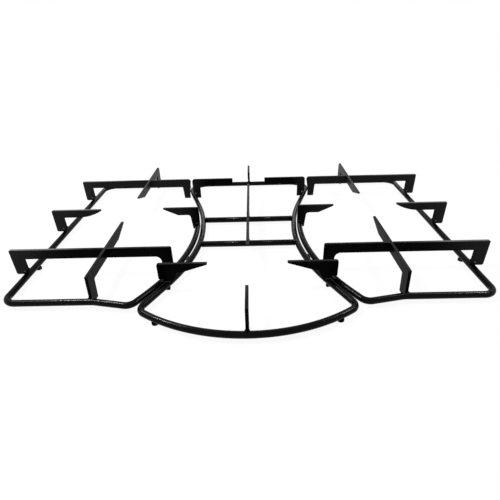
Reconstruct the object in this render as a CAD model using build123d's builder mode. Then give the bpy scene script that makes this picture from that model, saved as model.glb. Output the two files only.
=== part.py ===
"""Hob pan support: a centre grate of hourglass outline nested between two side grates."""

import os
from math import asin, cos, degrees, radians, sin, sqrt, tan

from build123d import *

# Overall sizes in millimetres, with Z = 0 on the hob glass
overall_width = 657.6
top_height = 39.0
rod_height = 7.5
rod_diameter = 8.6
bar_diameter = 9.4
plate_thickness = 4.0
blade_height = 13.5
front_blade_height = 14.7
weld_gap = 0.2
grate_gap = 1.6
corner_round = 2.5

# Lines across the support, measured from its middle
front_apex_y = -241.7
front_rod_y = -179.0
front_bar_y = -40.1
mid_bar_y = 44.4
side_burner_y = 29.8
rear_rod_y = 218.5
wok_setback = 98.4
front_blade_setback = 78.3
rear_blade_setback = 52.3

# Bends of the centre rod
waist_half_width = 74.4
waist_y = -14.25
front_flare_radius = 291.7
front_flare_angle = 26.5
rear_flare_radius = 402.0
rear_flare_angle = 17.2
front_arc_radius = 213.0
front_bend = 12.5
rear_bend = 32.0

# Bends of the side rods
side_waist_y = -4.75
side_flare_radius = 320.0
side_bend_lead = 8.46
wave_drop = 9.8
wave_start = 48.0
wave_bend = 40.0
corner_bend = 12.0
front_outer_bend = 15.0
rear_outer_bend = 21.0

# Legs and fingers
outer_leg = 17.6
toe = 3.0
toe_rise = 1.0
front_inner_leg = 15.4
rear_inner_leg = 11.4
rear_leg_flare = 2.1
mid_inner_leg = 15.0
front_leg = 20.5
rear_leg = 23.0
centre_leg = 15.0
saddle_leg = 18.0
wok_leg = 11.2
wok_web = 14.0
wok_lip = 6.5
leg_taper = 3.0
leg_fillet = 8.0
finger_fillet = 4.5
burner_x = 195.5
outer_reach = 50.0
inner_reach = 54.0
burner_reach_y = 48.2
small_reach = 31.5
wok_reach = 51.2
wok_front_reach = 49.8
wok_rear_reach = 43.8
tip_height = 2.4
outer_taper = 40.0
inner_taper = 24.0
long_taper = 34.0
foot_diameter = 8.4
front_foot_x = 107.5
wok_foot_step = 2.8
side_foot_step = 11.0

# Sizes that follow from those above
wok_y = front_apex_y + wok_setback
front_blade_y = front_rod_y + front_blade_setback
rear_blade_y = rear_rod_y - rear_blade_setback
rod_radius = rod_diameter / 2
bar_radius = bar_diameter / 2
half_plate = plate_thickness / 2
blade_bottom = top_height - blade_height
front_blade_bottom = top_height - front_blade_height
tip_bottom = top_height - tip_height
half_width = overall_width / 2
outer_leg_x = half_width - outer_leg
foot_height = rod_height - rod_radius - weld_gap
outer_toe_x = outer_leg_x - toe
outer_rod_x = outer_toe_x - weld_gap - rod_radius
side_waist_x = waist_half_width + rod_diameter + grate_gap
wave_y = front_rod_y - wave_drop
side_flare_y = wave_y + side_bend_lead
side_flare_angle = degrees(asin((side_waist_y - side_flare_y) / side_flare_radius))
rear_corner_x = waist_half_width + rear_flare_radius * (1 - cos(radians(rear_flare_angle)))
rear_flare_y = waist_y + rear_flare_radius * sin(radians(rear_flare_angle))
rear_corner_x += (rear_rod_y - rear_flare_y) * tan(radians(rear_flare_angle))
rear_bend_x = rear_corner_x - rear_bend * (
    tan(radians(rear_flare_angle)) + 1 / cos(radians(rear_flare_angle))
)
side_rear_x = rear_bend_x + rear_bend + rod_diameter + grate_gap


def flared(y, waist, middle, radius, angle):
    """Half-width of a bent rod's axis at y: an arc round the waist, then its tangent."""
    run = abs(y - middle)
    arc_run = radius * sin(radians(angle))
    if run < arc_run:
        return waist + radius - sqrt(radius**2 - run**2)
    return waist + radius * (1 - cos(radians(angle))) + (run - arc_run) * tan(radians(angle))


def side_axis(y):
    """Half-width of a side rod's inner run at y."""
    return flared(y, side_waist_x, side_waist_y, side_flare_radius, side_flare_angle)


def centre_axis(y):
    """Half-width of the centre rod at y, between its end bends."""
    if y < waist_y:
        return flared(y, waist_half_width, waist_y, front_flare_radius, front_flare_angle)
    return flared(y, waist_half_width, waist_y, rear_flare_radius, rear_flare_angle)


def front_arc_y(x):
    """Place of the centre rod's front arc at x."""
    return front_apex_y + front_arc_radius - sqrt(front_arc_radius**2 - x**2)


def rear_arc_y(x):
    """Place of the centre rod's rear run and its end bend at x."""
    past = max(x - rear_bend_x, 0)
    return rear_rod_y - rear_bend + sqrt(rear_bend**2 - past**2)


def round_section(diameter):
    """Section of a rod or foot, its circle drawn with 18 flats."""
    RegularPolygon(diameter / 2, 18)


def rod_along(wire):
    """Rod along a path."""
    with BuildPart() as bar:
        with BuildSketch(Plane(origin=wire @ 0, z_dir=wire % 0)):
            round_section(rod_diameter)
        sweep(path=wire)
    return bar.part


def centre_path():
    """Right half of the centre rod, from the front apex round to the middle of the rear."""
    slope = radians(front_flare_angle)
    heading = Vector(sin(slope), -cos(slope))
    arc_centre = Vector(0, front_apex_y + front_arc_radius)
    flare_y = waist_y - front_flare_radius * sin(slope)
    flare_end = Vector(centre_axis(flare_y), flare_y)
    bend_start = flare_end - front_bend * Vector(cos(slope), sin(slope)) - arc_centre
    along = bend_start.dot(heading)
    reach = front_arc_radius - front_bend
    step = sqrt(along**2 - bend_start.dot(bend_start) + reach**2) - along
    bend_centre = arc_centre + bend_start + heading * step
    front_end = arc_centre + (bend_centre - arc_centre) * (front_arc_radius / reach)
    rear_flare = (centre_axis(rear_flare_y), rear_flare_y)
    with BuildLine() as path:
        RadiusArc((0, front_apex_y), front_end, -front_arc_radius)
        RadiusArc(front_end, flare_end + heading * step, -front_bend)
        Line(flare_end + heading * step, flare_end)
        RadiusArc(flare_end, (waist_half_width, waist_y), front_flare_radius)
        RadiusArc((waist_half_width, waist_y), rear_flare, rear_flare_radius)
        FilletPolyline(rear_flare, (rear_corner_x, rear_rod_y), (0, rear_rod_y), radius=rear_bend)
    return Pos(0, 0, rod_height) * path.wire()


def side_path(side):
    """A side rod: from its end on the inner finger, round the grate, to the rear blade."""
    end_tilt = abs(side_burner_y - side_waist_y) / side_flare_radius
    inner_end_y = side_burner_y - half_plate - weld_gap - rod_radius * end_tilt
    rear_end_y = rear_blade_y + half_plate + weld_gap
    with BuildLine(Plane.XY.offset(rod_height)) as path:
        ThreePointArc(
            (side * side_axis(inner_end_y), inner_end_y),
            (side * side_waist_x, side_waist_y),
            (side * side_axis(side_flare_y), side_flare_y),
        )
        FilletPolyline(
            (side * side_axis(side_flare_y), side_flare_y),
            (side * side_axis(wave_y), wave_y),
            (side * (side_axis(wave_y) + wave_start), front_rod_y),
            (side * outer_rod_x, front_rod_y),
            (side * outer_rod_x, rear_rod_y),
            (side * side_rear_x, rear_rod_y),
            (side * side_rear_x, rear_end_y),
            radius=(front_bend, wave_bend, front_outer_bend, rear_outer_bend, corner_bend),
        )
    return path.wire()


def seat(lean):
    """Notch for a rod that crosses a plate, leaning by the given angle in degrees."""
    shift = half_plate * tan(radians(lean)) + rod_radius / cos(radians(lean)) - rod_radius
    SlotCenterToCenter(2 * shift, rod_diameter + 2 * weld_gap, mode=Mode.SUBTRACT)


def save(node, label):
    """Name a finished piece and write its STEP file."""
    node.part.label = label
    export_step(node.part, f"parts/{label}.step")


os.makedirs("parts", exist_ok=True)

# Centre rod, bent into an hourglass
with BuildPart() as centre_rod:
    add(rod_along(centre_path()))
    mirror(about=Plane.YZ)
save(centre_rod, "centre_rod")

# Straight bars across the centre grate, each as long as its narrower side allows
for bar_y, word in ((front_bar_y, "front"), (mid_bar_y, "mid")):
    narrow = min(centre_axis(bar_y - bar_radius), centre_axis(bar_y + bar_radius))
    bar_reach = narrow - rod_radius - weld_gap
    with BuildPart() as cross_bar:
        with BuildSketch(Plane.YZ):
            with Locations((bar_y, rod_height)):
                round_section(bar_diameter)
        extrude(amount=bar_reach, both=True)
    save(cross_bar, f"centre_{word}_bar")

# Middle blade, which saddles both bars
with BuildPart() as middle_blade:
    middle_front = wok_y + wok_rear_reach
    middle_rear = rear_blade_y - small_reach
    with BuildSketch(Plane.YZ):
        with BuildLine():
            Polyline(
                (middle_front, top_height),
                (middle_rear, top_height),
                (middle_rear, tip_bottom),
                (middle_rear - long_taper, blade_bottom),
                (middle_front + long_taper, blade_bottom),
                (middle_front, tip_bottom),
                close=True,
            )
        make_face()
        for bar_y in (front_bar_y, mid_bar_y):
            with Locations((bar_y, rod_height)):
                Rectangle(saddle_leg, blade_bottom - rod_height, align=(Align.CENTER, Align.MIN))
                Circle(bar_radius + weld_gap, mode=Mode.SUBTRACT)
    extrude(amount=half_plate, both=True)
save(middle_blade, "centre_middle_blade")

# Rear finger of the centre grate, its leg behind the rear rod
with BuildPart() as centre_rear_finger:
    leg_y = rear_rod_y + rod_radius + weld_gap
    tip_y = rear_blade_y + small_reach
    with BuildSketch(Plane.YZ) as outline:
        with BuildLine():
            Polyline(
                (tip_y, top_height),
                (leg_y + rear_leg, top_height),
                (leg_y + rear_leg, 0),
                (leg_y, 0),
                (leg_y, blade_bottom),
                (tip_y, blade_bottom),
                close=True,
            )
        make_face()
        fillet(outline.vertices().group_by(Axis.X)[-1], corner_round)
    extrude(amount=half_plate, both=True)
save(centre_rear_finger, "centre_rear_finger")

# Front finger under a wok, its leg behind the front arc
with BuildPart() as wok_front_finger:
    leg_y = front_apex_y + rod_radius + weld_gap
    tip_y = wok_y - wok_front_reach
    with BuildSketch(Plane.YZ) as outline:
        with BuildLine():
            Polyline(
                (leg_y, top_height),
                (tip_y, top_height),
                (tip_y, tip_bottom),
                (leg_y + outer_leg, blade_bottom),
                (leg_y + outer_leg, 0),
                (leg_y, 0),
                close=True,
            )
        make_face()
        fillet(outline.vertices().group_by(Axis.X)[0], corner_round)
    extrude(amount=half_plate, both=True)
save(wok_front_finger, "centre_wok_front_finger")

# Side fingers of the centre grate, which sit on its rod
for side, word in ((-1, "left"), (1, "right")):
    rear_seat = centre_axis(rear_blade_y)
    with BuildPart() as rear_side_finger:
        with BuildSketch(Plane.XZ.offset(-rear_blade_y)) as outline:
            with BuildLine():
                Polyline(
                    (side * small_reach, top_height),
                    (side * rear_seat, top_height),
                    (side * rear_seat, 0),
                    (side * (rear_seat - centre_leg), 0),
                    (side * (rear_seat - centre_leg), blade_bottom),
                    (side * small_reach, blade_bottom),
                    close=True,
                )
            make_face()
            top_corner = outline.vertices().sort_by_distance((side * rear_seat, top_height))[0]
            fillet(top_corner, 2 * corner_round)
            with Locations((side * rear_seat, rod_height)):
                seat(rear_flare_angle)
        extrude(amount=half_plate, both=True)
    save(rear_side_finger, f"centre_rear_{word}_finger")

    wok_seat = centre_axis(wok_y)
    wok_outer = wok_seat + wok_leg
    clear_z = rod_height + rod_diameter
    with BuildPart() as wok_side_finger:
        with BuildSketch(Plane.XZ.offset(-wok_y)) as outline:
            with BuildLine():
                Polyline(
                    (side * wok_reach, top_height),
                    (side * wok_outer, top_height),
                    (side * wok_outer, clear_z),
                    (side * (wok_seat + rod_radius), clear_z),
                    (side * (wok_seat + rod_radius), rod_height),
                    (side * (wok_seat - wok_lip), rod_height),
                    (side * (wok_seat - wok_lip), rod_height + rod_radius / 2),
                    (side * (wok_seat - wok_web), blade_bottom),
                    (side * (wok_reach + long_taper), blade_bottom),
                    (side * wok_reach, tip_bottom),
                    close=True,
                )
            make_face()
            top_corner = outline.vertices().sort_by_distance((side * wok_outer, top_height))[0]
            fillet(top_corner, corner_round)
            with Locations((side * wok_seat, rod_height)):
                seat(front_flare_angle)
        extrude(amount=half_plate, both=True)
    save(wok_side_finger, f"centre_wok_{word}_finger")

# Feet of the centre grate, up to the underside of its rod
with BuildPart() as centre_feet:
    wok_foot_y = wok_y - wok_foot_step
    rear_foot_x = rear_bend_x + 0.75 * rear_bend
    with BuildSketch():
        with Locations(
            (-front_foot_x, front_arc_y(front_foot_x)),
            (front_foot_x, front_arc_y(front_foot_x)),
            (-centre_axis(wok_foot_y), wok_foot_y),
            (centre_axis(wok_foot_y), wok_foot_y),
            (-rear_foot_x, rear_arc_y(rear_foot_x)),
            (rear_foot_x, rear_arc_y(rear_foot_x)),
        ):
            round_section(foot_diameter)
    extrude(amount=foot_height)
save(centre_feet, "centre_feet")

# The two side grates, mirror images of each other
for side, word in ((-1, "left"), (1, "right")):
    with BuildPart() as side_rod:
        add(rod_along(side_path(side)))
    save(side_rod, f"{word}_rod")

    # Front blade: a bar on two legs, with a lap slot for the front finger
    lean = asin((side_waist_y - front_blade_y) / side_flare_radius)
    front_inner_x = side_axis(front_blade_y - half_plate) + rod_radius / cos(lean) + weld_gap
    with BuildPart() as front_blade:
        with BuildSketch(Plane.XZ.offset(-front_blade_y)) as outline:
            with BuildLine():
                Polyline(
                    (side * front_inner_x, top_height),
                    (side * half_width, top_height),
                    (side * half_width, 0),
                    (side * outer_toe_x, 0),
                    (side * outer_toe_x, rod_height),
                    (side * outer_leg_x, rod_height + toe_rise),
                    (side * outer_leg_x, front_blade_bottom),
                    (side * (front_inner_x + front_inner_leg), front_blade_bottom),
                    (side * (front_inner_x + front_inner_leg), 0),
                    (side * front_inner_x, 0),
                    close=True,
                )
            make_face()
            inner_corner = (side * (front_inner_x + front_inner_leg), front_blade_bottom)
            fillet(outline.vertices().sort_by_distance(inner_corner)[0], leg_fillet)
            fillet(outline.vertices().group_by(Axis.X)[0], corner_round)
            fillet(outline.vertices().group_by(Axis.X)[-1], corner_round)
            with Locations((side * burner_x, top_height)):
                Rectangle(plate_thickness + 2 * weld_gap, blade_height, mode=Mode.SUBTRACT)
        extrude(amount=half_plate, both=True)
    save(front_blade, f"{word}_front_blade")

    # Rear blade: its narrow inner leg takes the rear end of the rod
    rear_inner_x = side_rear_x - 0.75 * rear_inner_leg
    rear_leg_x = rear_inner_x + rear_inner_leg
    rear_clear_z = rod_height + rod_radius
    with BuildPart() as rear_blade:
        with BuildSketch(Plane.XZ.offset(-rear_blade_y)) as outline:
            with BuildLine():
                Polyline(
                    (side * (rear_inner_x - 2 * rear_leg_flare), top_height),
                    (side * half_width, top_height),
                    (side * half_width, 0),
                    (side * outer_toe_x, 0),
                    (side * outer_toe_x, rod_height),
                    (side * outer_leg_x, rod_height + toe_rise),
                    (side * outer_leg_x, blade_bottom),
                    (side * (rear_leg_x + rear_leg_flare), blade_bottom),
                    (side * rear_leg_x, 0),
                    (side * rear_inner_x, 0),
                    (side * rear_inner_x, rear_clear_z),
                    close=True,
                )
            make_face()
            inner_corner = (side * (rear_inner_x - 2 * rear_leg_flare), top_height)
            fillet(outline.vertices().sort_by_distance(inner_corner)[0], 2 * corner_round)
            leg_corner = (side * (rear_leg_x + rear_leg_flare), blade_bottom)
            fillet(outline.vertices().sort_by_distance(leg_corner)[0], finger_fillet)
            fillet(outline.vertices().group_by(Axis.X)[0 if side < 0 else -1], corner_round)
            with Locations((side * burner_x, top_height)):
                Rectangle(plate_thickness + 2 * weld_gap, blade_height, mode=Mode.SUBTRACT)
        extrude(amount=half_plate, both=True)
    save(rear_blade, f"{word}_rear_blade")

    # Outer finger: its underside curves up to a blunt tip
    outer_tip_x = burner_x + outer_reach
    with BuildPart() as outer_finger:
        with BuildSketch(Plane.XZ.offset(-side_burner_y)) as outline:
            with BuildLine():
                Polyline(
                    (side * outer_tip_x, tip_bottom),
                    (side * outer_tip_x, top_height),
                    (side * half_width, top_height),
                    (side * half_width, 0),
                    (side * outer_toe_x, 0),
                    (side * outer_toe_x, rod_height),
                    (side * outer_leg_x, rod_height + toe_rise),
                    (side * outer_leg_x, blade_bottom),
                    (side * (outer_tip_x + outer_taper), blade_bottom),
                )
                TangentArc(
                    (side * (outer_tip_x + outer_taper), blade_bottom),
                    (side * outer_tip_x, tip_bottom),
                    tangent=(-side, 0),
                )
            make_face()
            fillet(outline.vertices().group_by(Axis.X)[0 if side < 0 else -1], corner_round)
        extrude(amount=half_plate, both=True)
    save(outer_finger, f"{word}_outer_finger")

    # Inner finger: its leg takes the front end of the rod
    inner_leg_x = side_axis(side_burner_y) - rod_radius + weld_gap
    inner_tip_x = burner_x - inner_reach
    with BuildPart() as inner_finger:
        with BuildSketch(Plane.XZ.offset(-side_burner_y)) as outline:
            with BuildLine():
                Polyline(
                    (side * inner_leg_x, top_height),
                    (side * inner_tip_x, top_height),
                    (side * inner_tip_x, tip_bottom),
                    (side * (inner_tip_x - inner_taper), blade_bottom),
                    (side * (inner_leg_x + mid_inner_leg), blade_bottom),
                    (side * (inner_leg_x + mid_inner_leg - leg_taper), 0),
                    (side * inner_leg_x, 0),
                    close=True,
                )
            make_face()
            leg_corner = (side * (inner_leg_x + mid_inner_leg), blade_bottom)
            fillet(outline.vertices().sort_by_distance(leg_corner)[0], finger_fillet)
            fillet(outline.vertices().group_by(Axis.X)[0 if side > 0 else -1], corner_round)
        extrude(amount=half_plate, both=True)
    save(inner_finger, f"{word}_inner_finger")

    # Front finger: it laps the front blade from above and runs to a long point
    front_leg_y = front_rod_y + rod_radius + weld_gap
    front_tip_y = side_burner_y - burner_reach_y
    with BuildPart() as front_finger:
        with BuildSketch(Plane.YZ.offset(side * burner_x)) as outline:
            with BuildLine():
                Polyline(
                    (front_leg_y + leg_taper, top_height),
                    (front_tip_y, top_height),
                    (front_tip_y, tip_bottom),
                    (front_tip_y - long_taper, blade_bottom),
                    (front_leg_y + front_leg, blade_bottom),
                    (front_leg_y + front_leg - leg_taper, 0),
                    (front_leg_y, 0),
                    (front_leg_y, rod_height),
                    close=True,
                )
            make_face()
            with Locations((front_blade_y, blade_bottom)):
                Rectangle(plate_thickness + 2 * weld_gap, blade_height, mode=Mode.SUBTRACT)
        extrude(amount=half_plate, both=True)
    save(front_finger, f"{word}_front_finger")

    # Rear finger: its leg stands behind the rear run of the rod
    rear_leg_y = rear_rod_y + rod_radius + weld_gap
    rear_tip_y = side_burner_y + burner_reach_y
    with BuildPart() as rear_finger:
        with BuildSketch(Plane.YZ.offset(side * burner_x)) as outline:
            with BuildLine():
                Polyline(
                    (rear_tip_y, top_height),
                    (rear_leg_y + rear_leg, top_height),
                    (rear_leg_y + rear_leg, 0),
                    (rear_leg_y, 0),
                    (rear_leg_y, blade_bottom),
                    (rear_tip_y + long_taper, blade_bottom),
                    (rear_tip_y, tip_bottom),
                    close=True,
                )
            make_face()
            fillet(outline.vertices().group_by(Axis.X)[-1], corner_round)
            with Locations((rear_blade_y, blade_bottom)):
                Rectangle(plate_thickness + 2 * weld_gap, blade_height, mode=Mode.SUBTRACT)
        extrude(amount=half_plate, both=True)
    save(rear_finger, f"{word}_rear_finger")

    # Feet of the side grate, up to the underside of its rod
    with BuildPart() as side_feet:
        inner_foot_y = (front_blade_y + front_bar_y) / 2
        bend_in = corner_bend * (1 - cos(radians(45)))
        with BuildSketch():
            with Locations(
                (side * outer_rod_x, front_blade_y + side_foot_step),
                (side * side_axis(inner_foot_y), inner_foot_y),
                (side * (side_rear_x + bend_in), rear_rod_y - bend_in),
            ):
                round_section(foot_diameter)
        extrude(amount=foot_height)
    save(side_feet, f"{word}_feet")
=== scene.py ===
"""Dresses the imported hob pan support.

It draws smooth rods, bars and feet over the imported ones, adds weld beads and spots, rounds the
plates, coats everything with gloss enamel and sets a white stage.
"""

from math import radians

import bmesh
import bpy
import numpy as np
from mathutils import Matrix, Vector


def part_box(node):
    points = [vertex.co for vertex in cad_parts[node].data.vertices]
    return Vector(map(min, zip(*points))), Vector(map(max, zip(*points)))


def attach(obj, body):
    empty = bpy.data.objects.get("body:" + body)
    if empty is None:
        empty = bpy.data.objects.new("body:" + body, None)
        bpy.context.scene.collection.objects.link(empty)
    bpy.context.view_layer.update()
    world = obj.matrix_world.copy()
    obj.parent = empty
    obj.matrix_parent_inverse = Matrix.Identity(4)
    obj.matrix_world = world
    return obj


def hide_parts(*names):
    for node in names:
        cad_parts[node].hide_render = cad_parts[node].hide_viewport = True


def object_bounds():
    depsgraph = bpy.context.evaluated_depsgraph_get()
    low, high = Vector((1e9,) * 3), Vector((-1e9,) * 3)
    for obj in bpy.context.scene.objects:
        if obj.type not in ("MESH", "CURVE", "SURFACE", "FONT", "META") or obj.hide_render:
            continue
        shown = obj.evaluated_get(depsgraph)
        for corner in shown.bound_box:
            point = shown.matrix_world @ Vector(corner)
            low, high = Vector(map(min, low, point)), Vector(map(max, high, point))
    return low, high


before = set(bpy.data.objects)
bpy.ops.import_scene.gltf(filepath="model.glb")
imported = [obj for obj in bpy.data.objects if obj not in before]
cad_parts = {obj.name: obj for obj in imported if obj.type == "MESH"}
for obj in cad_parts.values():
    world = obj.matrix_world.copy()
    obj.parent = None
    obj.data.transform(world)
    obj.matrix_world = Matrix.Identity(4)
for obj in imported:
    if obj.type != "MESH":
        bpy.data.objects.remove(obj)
CAD_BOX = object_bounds()

bl_info = {
    "name": "Hob Pan Support",
    "version": (1, 0, 0),
    "blender": (4, 5, 0),
    "location": "3D View > Sidebar > Pan Support",
    "description": "Enamelled pan support of three nested grates",
    "category": "Add Mesh",
}

MM = 0.001

# Tangent corners and bend radii of the rods in millimetres, the side rod as it runs on the right
CENTRE_CORNERS = ((67.3, -241.7), (131.19, -196.85), (74.4, -82.94), (74.4, 46.55), (127.63, 218.5))
CENTRE_BENDS = (213.0, 12.5, 291.7, 402.0, 32.0)
SIDE_START = (86.19, 27.14)
SIDE_CORNERS = (
    (74.9, -85.61),
    (142.63, -188.8),
    (190.63, -179.0),
    (303.7, -179.0),
    (303.7, 218.5),
    (126.42, 218.5),
)
SIDE_BENDS = (320.0, 12.5, 40.0, 15.0, 21.0, 12.0)
SIDE_END = (126.42, 168.4)

# Where plates meet the rods, in millimetres on the right half
OUTER_TOE_X = 308.2
FRONT_INNER_X = 104.7
WOK_SEAT_X = 104.5
REAR_SEAT_X = 111.4

# Where the welding spots sit on the legs, in millimetres on the right half
LEG_SPOT_X = 316.0
INNER_SPOT_X = 86.2

# Middles of the feet and tabs under the rods, in millimetres on the right half
CENTRE_FEET = ((107.5, -212.58), (108.22, 207.67))
WOK_TABS = ((105.6, -145.0),)
SIDE_FEET = ((303.7, -89.7), (91.41, -70.4), (129.94, 214.99))

PLATES = tuple(
    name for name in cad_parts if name.endswith("_finger") or name.endswith("_blade")
)


class PanSupportSizes(bpy.types.PropertyGroup):
    """Sizes of the pieces that are drawn over the frame."""

    rod_diameter: bpy.props.FloatProperty(
        name="Rod diameter",
        description="Thickness of the bent rods",
        default=0.0086,
        unit="LENGTH",
    )
    bar_diameter: bpy.props.FloatProperty(
        name="Bar diameter",
        description="Thickness of the cross bars",
        default=0.0094,
        unit="LENGTH",
    )
    rod_height: bpy.props.FloatProperty(
        name="Rod height",
        description="Height of the rods' axes above the hob",
        default=0.0075,
        unit="LENGTH",
    )
    edge_round: bpy.props.FloatProperty(
        name="Edge round",
        description="Rounding of the plates' edges under the enamel",
        default=0.0006,
        unit="LENGTH",
    )
    bead_radius: bpy.props.FloatProperty(
        name="Bead radius",
        description="Thickness of the weld beads",
        default=0.0011,
        unit="LENGTH",
    )
    spot_radius: bpy.props.FloatProperty(
        name="Spot radius",
        description="Width of the welding spots on the legs",
        default=0.0012,
        unit="LENGTH",
    )
    foot_diameter: bpy.props.FloatProperty(
        name="Foot diameter",
        description="Width of the feet under the rods",
        default=0.0084,
        unit="LENGTH",
    )


class PanSupportColours(bpy.types.PropertyGroup):
    """Colours of the enamel and the stage."""

    enamel: bpy.props.FloatVectorProperty(
        name="Enamel",
        description="Colour of the black enamel",
        default=(0.0007, 0.0007, 0.0008),
        subtype="COLOR",
        size=3,
        min=0.0,
        max=1.0,
    )
    # Pale colour of rubbed enamel, also used for the painted sheen and highlights
    rubbed: bpy.props.FloatVectorProperty(
        name="Rubbed enamel",
        description="Colour of the enamel where pans have rubbed it",
        default=(0.11, 0.11, 0.114),
        subtype="COLOR",
        size=3,
        min=0.0,
        max=1.0,
    )
    floor: bpy.props.FloatVectorProperty(
        name="Floor",
        description="Colour of the floor",
        default=(0.9, 0.9, 0.9),
        subtype="COLOR",
        size=3,
        min=0.0,
        max=1.0,
    )


def mesh_object(name, points, faces, material):
    """A smooth closed piece on the root body, its points in metres in the frame of the CAD.

    The small rings at the poles and ends are closed, and all the faces point outwards.
    """
    mesh = bpy.data.meshes.new(name)
    mesh.from_pydata(points.reshape(-1, 3).tolist(), [], faces.reshape(-1, 4).tolist())
    shape = bmesh.new()
    shape.from_mesh(mesh)
    bmesh.ops.holes_fill(shape, edges=shape.edges[:], sides=0)
    bmesh.ops.recalc_face_normals(shape, faces=shape.faces[:])
    shape.to_mesh(mesh)
    shape.free()
    mesh.validate()
    mesh.polygons.foreach_set("use_smooth", np.ones(len(mesh.polygons), dtype=bool))
    mesh.materials.append(material)
    piece = bpy.data.objects.new(name, mesh)
    bpy.context.scene.collection.objects.link(piece)
    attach(piece, "root")
    return piece


def grid_faces(rows, columns, rows_closed):
    """Quads of a grid whose columns close on themselves: (i, j), (i, j+1), (i+1, j+1), (i+1, j)."""
    i = np.arange(rows if rows_closed else rows - 1)[:, None]
    j = np.arange(columns)[None, :]
    below, after = (i + 1) % rows, (j + 1) % columns
    corners = (i * columns + j, i * columns + after, below * columns + after, below * columns + j)
    return np.stack(np.broadcast_arrays(*corners), axis=-1)


def joined(first, second):
    """Two shapes of points and quads as one, the second's corners counted on from the first's."""
    (points, faces), (more_points, more_faces) = first, second
    points, more_points = points.reshape(-1, 3), more_points.reshape(-1, 3)
    faces, more_faces = faces.reshape(-1, 4), more_faces.reshape(-1, 4)
    return np.concatenate((points, more_points)), np.concatenate((faces, more_faces + len(points)))


def bent_path(start, corners, bends, end, step=radians(2.5), nearest=0.01):
    """Points of a line through corners, each rounded by an arc of its own bend radius.

    An arc starts bend * tan(turn / 2) before its corner and turns by the angle between the two runs.
    Points nearer to the one before than nearest, in millimetres, are left out.
    """
    runs = np.diff(np.array((start, *corners, end), dtype=float), axis=0)
    headings = np.arctan2(runs[:, 1], runs[:, 0])
    turns = (np.diff(headings) + np.pi) % (2 * np.pi) - np.pi
    pieces = [np.array([start], dtype=float)]
    for corner, bend, heading, turn in zip(corners, bends, headings, turns):
        along = np.array((np.cos(heading), np.sin(heading)))
        inward = np.array((-along[1], along[0])) * np.sign(turn)
        centre = np.array(corner) - along * bend * np.tan(abs(turn) / 2) + inward * bend
        sweep = np.linspace(0, abs(turn), int(abs(turn) / step) + 3)[:, None]
        pieces.append(centre + bend * (np.sin(sweep) * along - np.cos(sweep) * inward))
    pieces.append(np.array([end], dtype=float))
    points = np.concatenate(pieces)
    apart = np.linalg.norm(np.diff(points, axis=0), axis=1) > nearest
    return points[np.concatenate(([True], apart))]


def tube(path, radius, height, closed, sides=32, pole=0.02):
    """Round rod about a level path: p(u, v) = path(u) + radius * (cos v * side(u) + sin v * up).

    The side direction is the path's heading turned left by a right angle. An open rod ends in two
    flat discs, drawn as rings that shrink towards the axis to the share pole of the radius.
    """
    if closed:
        ahead = np.roll(path, -1, axis=0) - np.roll(path, 1, axis=0)
    else:
        ahead = np.gradient(path, axis=0)
    ahead /= np.linalg.norm(ahead, axis=1)[:, None]
    side = np.stack((-ahead[:, 1], ahead[:, 0], np.zeros(len(path))), axis=1)
    axis = np.column_stack((path, np.full(len(path), height)))
    reach = np.full(len(path), radius)
    if not closed:
        ends = [0, *range(len(path)), len(path) - 1]
        axis, side, reach = axis[ends], side[ends], reach[ends]
        reach[[0, -1]] = pole * radius
    v = np.linspace(0, 2 * np.pi, sides, endpoint=False)
    ring = np.cos(v)[None, :, None] * side[:, None, :]
    ring = ring + np.sin(v)[None, :, None] * np.array((0.0, 0.0, 1.0))
    points = axis[:, None, :] + reach[:, None, None] * ring
    return points * MM, grid_faces(len(axis), sides, closed)


def beads(seams, radius, rows=15, sides=10, ripple_depth=0.1, ripple_length=1.6):
    """Weld beads, one for each seam of (middle, direction, length) in millimetres.

    p(u, v) = middle + u * length / 2 * direction + r(u) * (cos v * a + sin v * b), where r falls off
    at both ends as the fourth root of 1 - u^4, down to the root of least, and rises and falls a
    little with each ripple.
    """
    middle = np.array([seam[0] for seam in seams], dtype=float)
    along = np.array([seam[1] for seam in seams], dtype=float)
    length = np.array([seam[2] for seam in seams], dtype=float)
    along /= np.linalg.norm(along, axis=1)[:, None]
    steep, least = 0.7, 0.001
    helper = np.where(np.abs(along[:, 2:]) > steep, (1.0, 0.0, 0.0), (0.0, 0.0, 1.0))
    a = np.cross(along, helper)
    a /= np.linalg.norm(a, axis=1)[:, None]
    b = np.cross(along, a)
    u = np.linspace(-1, 1, rows)
    ripple = 1 + ripple_depth * np.cos(u[None, :] * np.pi * length[:, None] / ripple_length)
    swell = radius * ripple * np.maximum(1 - u**4, least)[None, :] ** 0.25
    v = np.linspace(0, 2 * np.pi, sides, endpoint=False)
    around = np.cos(v)[None, :, None] * a[:, None, :] + np.sin(v)[None, :, None] * b[:, None, :]
    axis = middle[:, None, :] + (u[None, :] * length[:, None] / 2)[:, :, None] * along[:, None, :]
    points = axis[:, :, None, :] + swell[:, :, None, None] * around[:, None, :, :]
    one = grid_faces(rows, sides, False)
    faces = one[None] + (np.arange(len(seams)) * rows * sides)[:, None, None, None]
    return points * MM, faces


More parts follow.
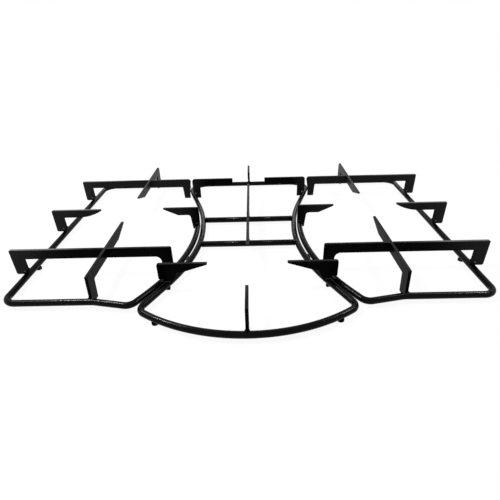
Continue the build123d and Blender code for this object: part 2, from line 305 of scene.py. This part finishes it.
def feet(places, width, depth, height, corner=1.0, sides=28, edge=0.06, pole=0.005):
    """Low round feet or flat tabs that stand at level places, in millimetres.

    p(t, v) = place + r(t) * (width / 2 * c(v), depth / 2 * s(v)) + z(t) * up, where c and s are the
    cosine and the sine of v raised to the power corner with their signs kept, so 1 gives a round
    foot and less gives a flat tab with rounded corners. The profile r, z runs from the share pole
    at the middle of the base out to its edge, round two small corners of the share edge, and back
    to the middle of the top.
    """
    turn = np.linspace(0, np.pi / 2, 5)
    low_r, low_z = 1 - edge + edge * np.sin(turn), (edge - edge * np.cos(turn)) * depth / 2
    profile_r = np.concatenate(((pole,), low_r, low_r[::-1], (pole,)))
    profile_z = np.concatenate(((0.0,), low_z, height - low_z[::-1], (height,)))
    v = np.linspace(0, 2 * np.pi, sides, endpoint=False)
    places = np.asarray(places, dtype=float)
    c, s = (np.sign(wave) * np.abs(wave) ** corner for wave in (np.cos(v), np.sin(v)))
    ring = np.stack((width / 2 * c, depth / 2 * s, np.zeros(sides)), axis=1)
    rise = profile_z[:, None, None] * np.array((0.0, 0.0, 1.0))
    one = profile_r[:, None, None] * ring[None] + rise
    middles = np.column_stack((places, np.zeros(len(places))))
    points = middles[:, None, None, :] + one[None]
    quads = grid_faces(len(profile_r), sides, False)
    faces = quads[None] + (np.arange(len(places)) * len(profile_r) * sides)[:, None, None, None]
    return points * MM, faces


def enamel_skin():
    """Node group for fired enamel: colour, roughness and height from speckle, flow and rubbed tops.

    The rubbed tops are partly real wear from pans and partly a painted highlight on the top edges.
    At the outer ends and at the rear of the side grates the enamel gets a paler painted sheen that
    stands in for reflected light, most of all as a painted highlight along the top edges of the ends.
    """
    group = bpy.data.node_groups.new("Enamel skin", "ShaderNodeTree")
    face = group.interface
    for name, kind, default in (
        ("Enamel", "NodeSocketColor", (0.005, 0.005, 0.006, 1.0)),
        ("Rubbed", "NodeSocketColor", (0.05, 0.05, 0.05, 1.0)),
        ("Top", "NodeSocketFloat", 0.039),
        ("Dullness", "NodeSocketFloat", 0.2),
        # Outer sheen is painted reflection: a paler colour at the outer ends and the rear of the side
        # grates
        ("Outer sheen", "NodeSocketFloat", 0.0),
    ):
        face.new_socket(name, in_out="INPUT", socket_type=kind).default_value = default
    face.new_socket("Colour", in_out="OUTPUT", socket_type="NodeSocketColor")
    face.new_socket("Roughness", in_out="OUTPUT", socket_type="NodeSocketFloat")
    face.new_socket("Height", in_out="OUTPUT", socket_type="NodeSocketFloat")
    nodes, links = group.nodes, group.links
    given = nodes.new("NodeGroupInput")
    result = nodes.new("NodeGroupOutput")
    place = nodes.new("ShaderNodeTexCoord")

    # Where the rubbing and the painted sheen start and where they are full, in metres
    rub_depth = 0.0009
    end_start, end_full = 0.235, 0.325
    end_top_start, end_top_full = 0.215, 0.285
    rear_start, rear_full = -0.06, 0.03
    side_start, side_full = 0.08, 0.12

    # Scales of the noise for rubbed patches, flow, speckle, waves and peel
    patch_scale, flow_scale, speckle_scale = 38.0, 45.0, 1800.0
    wave_scale, peel_scale = 170.0, 420.0

    # Shares of the pale colour for wear and painted sheen, of roughness and of relief
    painted_rear_sheen, painted_end_top_highlight = 0.7, 0.85
    worn_and_highlight_pale, speckle_pale = 0.2, 0.025
    flow_dull, worn_dull = 0.07, 0.1
    wave_relief, peel_relief, speckle_relief = 2.0, 0.5, 0.2

    def noise(scale, detail):
        node = nodes.new("ShaderNodeTexNoise")
        node.inputs["Scale"].default_value = scale
        node.inputs["Detail"].default_value = detail
        links.new(place.outputs["Object"], node.inputs["Vector"])
        return node.outputs["Fac"]

    def span(value, low, high, to_low, to_high):
        node = nodes.new("ShaderNodeMapRange")
        node.interpolation_type = "SMOOTHSTEP"
        names = ("From Min", "From Max", "To Min", "To Max")
        for name, number in zip(names, (low, high, to_low, to_high)):
            node.inputs[name].default_value = number
        links.new(value, node.inputs["Value"])
        return node.outputs["Result"]

    def maths(operation, first, second):
        node = nodes.new("ShaderNodeMath")
        node.operation = operation
        for socket, value in zip(node.inputs, (first, second)):
            if isinstance(value, float):
                socket.default_value = value
            else:
                links.new(value, socket)
        return node.outputs["Value"]

    split = nodes.new("ShaderNodeSeparateXYZ")
    links.new(place.outputs["Object"], split.inputs["Vector"])
    # Rubbed tops: partly real wear from pans, partly a painted highlight along the top edges
    below_top = maths("SUBTRACT", given.outputs["Top"], split.outputs["Z"])
    near_top = span(below_top, 0.0, rub_depth, 1.0, 0.0)
    patches = span(noise(patch_scale, 2.0), 0.3, 0.7, 0.35, 1.0)
    worn_and_top_highlight = maths("MULTIPLY", near_top, patches)
    flow = span(noise(flow_scale, 2.0), 0.3, 0.7, 0.0, 1.0)
    speckle = span(noise(speckle_scale, 1.0), 0.6, 0.8, 0.0, 1.0)
    # Painted sheen: paler towards the outer ends and the rear of the side grates, standing in for
    # reflected light
    from_middle = maths("ABSOLUTE", split.outputs["X"], 0.0)
    ends = span(from_middle, end_start, end_full, 0.0, 1.0)
    behind = span(split.outputs["Y"], rear_start, rear_full, 0.0, painted_rear_sheen)
    rear = maths("MULTIPLY", behind, span(from_middle, side_start, side_full, 0.0, 1.0))
    outer = maths("MULTIPLY", maths("MAXIMUM", ends, rear), given.outputs["Outer sheen"])
    # Painted highlight: paler top edges towards the outer ends
    painted_end_tops = span(from_middle, end_top_start, end_top_full, 0.0, painted_end_top_highlight)
    painted_outer_top = maths("MULTIPLY", near_top, painted_end_tops)

    # The pale colour comes in for wear and speckle and for the painted sheen and highlights
    lighten = maths("ADD", maths("MULTIPLY", worn_and_top_highlight, worn_and_highlight_pale), maths("MULTIPLY", speckle, speckle_pale))
    lighten = maths("ADD", lighten, maths("ADD", outer, painted_outer_top))
    colour = nodes.new("ShaderNodeMix")
    colour.data_type = "RGBA"
    links.new(lighten, colour.inputs["Factor"])
    links.new(given.outputs["Enamel"], colour.inputs["A"])
    links.new(given.outputs["Rubbed"], colour.inputs["B"])
    links.new(colour.outputs["Result"], result.inputs["Colour"])

    gloss = maths("ADD", maths("MULTIPLY", flow, flow_dull), given.outputs["Dullness"])
    links.new(maths("ADD", gloss, maths("MULTIPLY", worn_and_top_highlight, worn_dull)), result.inputs["Roughness"])
    waves = maths("MULTIPLY", noise(wave_scale, 1.0), wave_relief)
    peel = maths("MULTIPLY", noise(peel_scale, 2.0), peel_relief)
    grains = maths("MULTIPLY", speckle, speckle_relief)
    height = maths("ADD", maths("ADD", peel, grains), waves)
    links.new(height, result.inputs["Height"])
    return group


# sheen is the share of painted sheen at the outer ends and the rear of the side grates
def enamel_material(name, skin, colours, specular, dullness, relief, sheen=0.0, depth=0.0002):
    """Gloss black enamel whose colour, roughness and bump come from the skin group."""
    material = bpy.data.materials.new(name)
    material.use_nodes = True
    nodes, links = material.node_tree.nodes, material.node_tree.links
    shader = nodes["Principled BSDF"]
    shader.inputs["Specular IOR Level"].default_value = specular
    group = nodes.new("ShaderNodeGroup")
    group.node_tree = skin
    group.inputs["Enamel"].default_value = (*colours.enamel, 1.0)
    group.inputs["Rubbed"].default_value = (*colours.rubbed, 1.0)
    group.inputs["Top"].default_value = CAD_BOX[1][2]
    group.inputs["Dullness"].default_value = dullness
    group.inputs["Outer sheen"].default_value = sheen
    bump = nodes.new("ShaderNodeBump")
    bump.inputs["Strength"].default_value = relief
    bump.inputs["Distance"].default_value = depth
    links.new(group.outputs["Colour"], shader.inputs["Base Color"])
    links.new(group.outputs["Roughness"], shader.inputs["Roughness"])
    links.new(group.outputs["Height"], bump.inputs["Height"])
    links.new(bump.outputs["Normal"], shader.inputs["Normal"])
    return material


def enamel(name):
    """A finished enamel from this file, by its name."""
    return bpy.data.materials[name]


class PANSUPPORT_OT_enamel(bpy.types.Operator):
    """Mix the enamels that the pieces share"""

    bl_idname = "pansupport.enamel"
    bl_label = "Mix enamel"

    def execute(self, context):
        colours = context.scene.pan_colours
        skin = enamel_skin()
        # Name, specular level, dullness, relief and share of painted sheen
        for name, specular, dullness, relief, sheen in (
            ("plate_enamel", 0.02, 0.24, 0.35, 0.14),
            ("rod_enamel", 0.07, 0.08, 0.7, 0.0),
            ("bead_enamel", 0.3, 0.14, 0.5, 0.0),
            ("spot_enamel", 1.0, 0.1, 0.2, 0.0),
        ):
            enamel_material(name, skin, colours, specular, dullness, relief, sheen)
        return {"FINISHED"}


class PANSUPPORT_OT_rods(bpy.types.Operator):
    """Draw the three bent rods with a true round section"""

    bl_idname = "pansupport.rods"
    bl_label = "Bend rods"

    def execute(self, context):
        sizes = context.scene.pan_sizes
        radius, height = sizes.rod_diameter / 2 / MM, sizes.rod_height / MM
        front, rear = (0.0, CENTRE_CORNERS[0][1]), (0.0, CENTRE_CORNERS[-1][1])
        right = bent_path(front, CENTRE_CORNERS, CENTRE_BENDS, rear)
        loop = np.concatenate((right, right[-2:0:-1] * (-1, 1)))
        shape = tube(loop, radius, height, True)
        rod = mesh_object("centre_round_rod", *shape, enamel("rod_enamel"))
        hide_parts("centre_rod")
        side = bent_path(SIDE_START, SIDE_CORNERS, SIDE_BENDS, SIDE_END)
        for word, path in (("right", side), ("left", side[::-1] * (-1, 1))):
            shape = tube(path, radius, height, False)
            rod = mesh_object(f"{word}_round_rod", *shape, enamel("rod_enamel"))
            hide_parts(f"{word}_rod")
        return {"FINISHED"}


class PANSUPPORT_OT_bars(bpy.types.Operator):
    """Draw the two cross bars of the centre grate with a true round section"""

    bl_idname = "pansupport.bars"
    bl_label = "Lay cross bars"

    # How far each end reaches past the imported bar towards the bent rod, in millimetres
    sunk = 1.2

    def execute(self, context):
        sizes = context.scene.pan_sizes
        radius, height = sizes.bar_diameter / 2 / MM, sizes.rod_height / MM
        for word in ("front", "mid"):
            low, high = (np.array(corner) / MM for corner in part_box(f"centre_{word}_bar"))
            y = (low[1] + high[1]) / 2
            ends = np.array(((low[0] - self.sunk, y), (high[0] + self.sunk, y)))
            shape = tube(ends, radius, height, False)
            bar = mesh_object(f"centre_{word}_round_bar", *shape, enamel("rod_enamel"))
            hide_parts(f"centre_{word}_bar")
        return {"FINISHED"}


class PANSUPPORT_OT_welds(bpy.types.Operator):
    """Run weld beads where the plates meet the rods"""

    bl_idname = "pansupport.welds"
    bl_label = "Weld joints"

    # Lengths of the seams, in millimetres
    wok_seam, bar_seam, rod_seam, leg_seam, toe_seam = 8, 7, 6, 5, 4

    # How far seams lie off a rod's axis or top, and how far in from the rear seat, in millimetres
    offset, toe_drop, end_drop, rear_inset = 1, 0.5, 0.6, 3

    def execute(self, context):
        sizes = context.scene.pan_sizes
        axis, radius = sizes.rod_height / MM, sizes.rod_diameter / 2 / MM
        bead = sizes.bead_radius / MM
        top = axis + radius
        upright, across, back = (0, 0, 1), (1, 0, 0), (0, 1, 0)

        def middle(node):
            low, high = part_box(node)
            return (np.array(low) + np.array(high)) / 2 / MM

        def both_faces(x, y, z, normal, direction, length):
            """A bead on each face of a plate whose faces look along normal."""
            place, half = np.array((x, y, z)), 0.5 * plate * np.array(normal)
            return [(place + half, direction, length), (place - half, direction, length)]

        low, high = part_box("centre_middle_blade")
        plate = (high[0] - low[0]) / MM

        seams = []
        bar_top = axis + sizes.bar_diameter / 2 / MM
        for node in ("centre_front_bar", "centre_mid_bar"):
            y = middle(node)[1]
            seams += both_faces(0, y, bar_top, across, back, self.bar_seam)
        for corner in (CENTRE_CORNERS[-1], CENTRE_CORNERS[0]):
            y = corner[1] + radius
            seams += both_faces(0, y, axis + self.offset, across, upright, self.rod_seam)
        for side, word in ((-1, "left"), (1, "right")):
            y = middle(f"centre_wok_{word}_finger")[1]
            seams += both_faces(side * WOK_SEAT_X, y, top, back, across, self.wok_seam)
            y = middle(f"centre_rear_{word}_finger")[1]
            x = side * (REAR_SEAT_X - self.rear_inset)
            seams += both_faces(x, y, top - self.offset, back, across, self.rod_seam)
            for node in ("centre_front_bar", "centre_mid_bar"):
                y, reach = middle(node)[1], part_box(node)[1][0] / MM
                seams.append(((side * reach, y, top - self.end_drop), back, self.rod_seam))
        shape = beads(seams, bead)
        mesh_object("centre_welds", *shape, enamel("bead_enamel"))

        for side, word in ((-1, "left"), (1, "right")):
            seams = []
            for name in ("front_blade", "rear_blade", "outer_finger"):
                y = middle(f"{word}_{name}")[1]
                z = axis - self.toe_drop
                seams += both_faces(side * OUTER_TOE_X, y, z, back, upright, self.toe_seam)
            y = middle(f"{word}_front_blade")[1]
            z = axis + self.offset
            seams += both_faces(side * FRONT_INNER_X, y, z, back, upright, self.leg_seam)
            x, y = middle(f"{word}_front_finger")[0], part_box(f"{word}_front_finger")[0][1] / MM
            seams += both_faces(x, y, z, across, upright, self.leg_seam)
            x, y = middle(f"{word}_rear_finger")[0], SIDE_CORNERS[-1][1] + radius
            seams += both_faces(x, y, axis - self.offset, across, upright, self.leg_seam)
            for x, y in (SIDE_START, SIDE_END):
                seams.append(((side * x, y, top - self.end_drop), across, self.rod_seam))
            shape = beads(seams, bead)
            mesh_object(f"{word}_welds", *shape, enamel("bead_enamel"))
        return {"FINISHED"}


class PANSUPPORT_OT_spots(bpy.types.Operator):
    """Leave a small welding spot at the foot of each leg"""

    bl_idname = "pansupport.spots"
    bl_label = "Spot weld legs"

    # Heights and length of the spots, in millimetres
    leg_height, inner_height, spot_length = 5.4, 7.2, 2.4

    def execute(self, context):
        radius = context.scene.pan_sizes.spot_radius / MM
        for side, word in ((-1, "left"), (1, "right")):
            spots = []
            for name in ("front_blade", "outer_finger", "rear_blade"):
                spots += self.both_faces(f"{word}_{name}", side * LEG_SPOT_X, self.leg_height)
            spots += self.both_faces(f"{word}_inner_finger", side * INNER_SPOT_X, self.inner_height)
            shape = beads(spots, radius, rows=9, sides=12)
            mesh_object(f"{word}_spots", *shape, enamel("spot_enamel"))
        return {"FINISHED"}

    def both_faces(self, node, x, z):
        """A short bead on the front and the rear face of a plate."""
        across = (1, 0, 0)
        return [((x, face[1] / MM, z), across, self.spot_length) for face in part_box(node)]


class PANSUPPORT_OT_plates(bpy.types.Operator):
    """Round the edges of the blades and fingers and coat them"""

    bl_idname = "pansupport.plates"
    bl_label = "Coat plates"

    # Reach of the weld before the rounding and of the one that cleans up after it, in metres
    join_reach, clean_reach = 1e-5, 2e-5

    # Triangles that meet below the first angle are one face, edges above the second are rounded
    flat_angle, edge_angle = radians(1), radians(40)

    def execute(self, context):
        for name in PLATES:
            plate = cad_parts[name]
            plate.data.materials.clear()
            plate.data.materials.append(enamel("plate_enamel"))
            join = plate.modifiers.new("join", "WELD")
            join.merge_threshold = self.join_reach
            flat = plate.modifiers.new("flat", "DECIMATE")
            flat.decimate_type = "DISSOLVE"
            flat.angle_limit = self.flat_angle
            edge = plate.modifiers.new("edge", "BEVEL")
            edge.width = context.scene.pan_sizes.edge_round
            edge.segments = 2
            edge.limit_method = "ANGLE"
            edge.angle_limit = self.edge_angle
            clean = plate.modifiers.new("clean", "WELD")
            clean.merge_threshold = self.clean_reach
        return {"FINISHED"}


class PANSUPPORT_OT_feet(bpy.types.Operator):
    """Turn the small round feet under the rods, and the flat tabs under the wok fingers"""

    bl_idname = "pansupport.feet"
    bl_label = "Turn feet"

    # Sizes of the tabs in millimetres, and the power that squares their corners
    tab_width, tab_depth, tab_height, tab_corner = 7.0, 4.8, 8.0, 0.2

    def execute(self, context):
        across = context.scene.pan_sizes.foot_diameter / MM
        right, half, half_tabs = (np.array(places) for places in (SIDE_FEET, CENTRE_FEET, WOK_TABS))
        centre = np.concatenate((half, half * (-1, 1)))
        tabs = np.concatenate((half_tabs, half_tabs * (-1, 1)))
        for word, places in (("left", right * (-1, 1)), ("centre", centre), ("right", right)):
            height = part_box(f"{word}_feet")[1][2] / MM
            shape = feet(places, across, across, height)
            if word == "centre":
                flat = feet(tabs, self.tab_width, self.tab_depth, self.tab_height, self.tab_corner)
                shape = joined(shape, flat)
            piece = mesh_object(f"{word}_round_feet", *shape, enamel("plate_enamel"))
            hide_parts(f"{word}_feet")
        return {"FINISHED"}


class PANSUPPORT_OT_stage(bpy.types.Operator):
    """Set the floor, the lights and the camera"""

    bl_idname = "pansupport.stage"
    bl_label = "Set stage"

    camera_place = (0.01049, -0.54762, 0.29406)
    camera_pitch, camera_yaw, camera_roll = 0.532, -0.016, -0.029
    camera_lens = 27.177

    # Strength of the world for rays that only light the object
    soft_light = 0.3

    # Half width of the floor, its depth under the feet and where it fades out, in metres
    floor_half, floor_depth, fade_start, fade_end = 6.0, 0.0002, 0.35, 0.9

    # Share of plain white in the floor near the object, which leaves a faint shadow, and roughness
    near_white = 0.93
    floor_dullness = 0.9

    def execute(self, context):
        scene = context.scene
        scene.view_settings.view_transform = "Standard"
        self.white_world(scene)
        self.floor(scene)
        self.lamps(scene)
        self.camera(scene)
        return {"FINISHED"}

    def white_world(self, scene):
        """World that the camera and reflections see as white, and that lights the object softly."""
        world = bpy.data.worlds.new("studio")
        world.use_nodes = True
        nodes, links = world.node_tree.nodes, world.node_tree.links
        background = nodes["Background"]
        background.inputs["Color"].default_value = (1.0, 1.0, 1.0, 1.0)
        seen = self.seen_rays(nodes, links)
        strength = nodes.new("ShaderNodeMapRange")
        strength.inputs["To Min"].default_value = self.soft_light
        strength.inputs["To Max"].default_value = 1.0
        links.new(seen, strength.inputs["Value"])
        links.new(strength.outputs["Result"], background.inputs["Strength"])
        scene.world = world

    def seen_rays(self, nodes, links):
        """1 for rays from the camera, from glossy surfaces and through clear ones, else 0."""
        path = nodes.new("ShaderNodeLightPath")
        total = path.outputs["Is Camera Ray"]
        for name in ("Is Glossy Ray", "Is Transmission Ray"):
            largest = nodes.new("ShaderNodeMath")
            largest.operation = "MAXIMUM"
            links.new(total, largest.inputs[0])
            links.new(path.outputs[name], largest.inputs[1])
            total = largest.outputs["Value"]
        return total

    def floor(self, scene):
        """Pale floor that keeps a faint shadow near the object and fades into the background."""
        corners = np.array(((-1, -1, 0), (1, -1, 0), (1, 1, 0), (-1, 1, 0))) * self.floor_half
        mesh = bpy.data.meshes.new("floor")
        mesh.from_pydata((corners - (0, 0, self.floor_depth)).tolist(), [], [(0, 1, 2, 3)])
        floor = bpy.data.objects.new("floor", mesh)
        scene.collection.objects.link(floor)
        material = bpy.data.materials.new("floor_paint")
        material.use_nodes = True
        nodes, links = material.node_tree.nodes, material.node_tree.links
        paint = nodes["Principled BSDF"]
        paint.inputs["Base Color"].default_value = (*scene.pan_colours.floor, 1.0)
        paint.inputs["Roughness"].default_value = self.floor_dullness
        glow = nodes.new("ShaderNodeEmission")
        place = nodes.new("ShaderNodeTexCoord")
        distance = nodes.new("ShaderNodeVectorMath")
        distance.operation = "LENGTH"
        share = nodes.new("ShaderNodeMapRange")
        share.interpolation_type = "SMOOTHSTEP"
        share.inputs["From Min"].default_value = self.fade_start
        share.inputs["From Max"].default_value = self.fade_end
        share.inputs["To Min"].default_value = self.near_white
        share.inputs["To Max"].default_value = 1.0
        seen = nodes.new("ShaderNodeMath")
        seen.operation = "MULTIPLY"
        mix = nodes.new("ShaderNodeMixShader")
        links.new(place.outputs["Object"], distance.inputs[0])
        links.new(distance.outputs["Value"], share.inputs["Value"])
        links.new(share.outputs["Result"], seen.inputs[0])
        links.new(self.seen_rays(nodes, links), seen.inputs[1])
        links.new(seen.outputs["Value"], mix.inputs["Fac"])
        links.new(paint.outputs["BSDF"], mix.inputs[1])
        links.new(glow.outputs["Emission"], mix.inputs[2])
        links.new(mix.outputs["Shader"], nodes["Material Output"].inputs["Surface"])
        mesh.materials.append(material)

    def lamps(self, scene):
        """A panel high on each side with a bright tube before it, and a low strip behind."""
        for name, place, width, depth, power in (
            ("left_panel", (-0.75, 0.2, 1.1), 0.7, 0.55, 11.0),
            ("left_tube", (-0.76, 0.02, 1.13), 0.3, 0.05, 8.5),
            ("right_panel", (0.85, 0.2, 1.1), 0.5, 0.35, 3.4),
            ("right_tube", (0.94, 0.05, 1.08), 0.35, 0.05, 5.0),
            ("rear_strip", (0.0, 1.5, 0.66), 1.2, 0.14, 2.1),
        ):
            light = bpy.data.lights.new(name, "AREA")
            light.shape = "RECTANGLE"
            light.size = width
            light.size_y = depth
            light.energy = power
            lamp = bpy.data.objects.new(name, light)
            lamp.location = place
            lamp.rotation_euler = Vector(place).to_track_quat("Z", "Y").to_euler()
            scene.collection.objects.link(lamp)

    def camera(self, scene):
        """Camera of the photograph: heading from pitch and yaw, then a slight roll about it."""
        pitch, yaw, roll = self.camera_pitch, self.camera_yaw, self.camera_roll
        forward = Vector((np.sin(yaw) * np.cos(pitch), np.cos(yaw) * np.cos(pitch), -np.sin(pitch)))
        right = Vector((np.cos(yaw), -np.sin(yaw), 0.0))
        up = right.cross(forward)
        rolled_right = np.cos(roll) * right + np.sin(roll) * up
        rolled_up = np.cos(roll) * up - np.sin(roll) * right
        turn = Matrix((rolled_right, rolled_up, -forward)).transposed()
        data = bpy.data.cameras.new("camera")
        data.lens = self.camera_lens
        data.sensor_width = 36.0
        camera = bpy.data.objects.new("camera", data)
        camera.matrix_world = Matrix.Translation(self.camera_place) @ turn.to_4x4()
        scene.collection.objects.link(camera)
        scene.camera = camera


class PANSUPPORT_PT_pieces(bpy.types.Panel):
    """Lists the pieces of the pan support"""

    bl_idname = "PANSUPPORT_PT_pieces"
    bl_label = "Pan Support"
    bl_space_type = "VIEW_3D"
    bl_region_type = "UI"
    bl_category = "Pan Support"

    def draw(self, context):
        layout = self.layout
        for group in (context.scene.pan_sizes, context.scene.pan_colours):
            for name in group.__annotations__:
                layout.prop(group, name)
        for operator in OPERATORS:
            layout.operator(operator.bl_idname)


OPERATORS = (
    PANSUPPORT_OT_enamel,
    PANSUPPORT_OT_rods,
    PANSUPPORT_OT_bars,
    PANSUPPORT_OT_welds,
    PANSUPPORT_OT_spots,
    PANSUPPORT_OT_plates,
    PANSUPPORT_OT_feet,
    PANSUPPORT_OT_stage,
)
CLASSES = (PanSupportSizes, PanSupportColours, *OPERATORS, PANSUPPORT_PT_pieces)


def register():
    for each in CLASSES:
        bpy.utils.register_class(each)
    bpy.types.Scene.pan_sizes = bpy.props.PointerProperty(type=PanSupportSizes)
    bpy.types.Scene.pan_colours = bpy.props.PointerProperty(type=PanSupportColours)


def unregister():
    del bpy.types.Scene.pan_colours
    del bpy.types.Scene.pan_sizes
    for each in reversed(CLASSES):
        bpy.utils.unregister_class(each)


def main():
    """Build every piece in order."""
    register()
    bpy.ops.pansupport.enamel()
    bpy.ops.pansupport.rods()
    bpy.ops.pansupport.bars()
    bpy.ops.pansupport.welds()
    bpy.ops.pansupport.spots()
    bpy.ops.pansupport.plates()
    bpy.ops.pansupport.feet()
    bpy.ops.pansupport.stage()


if __name__ == "__main__":
    main()
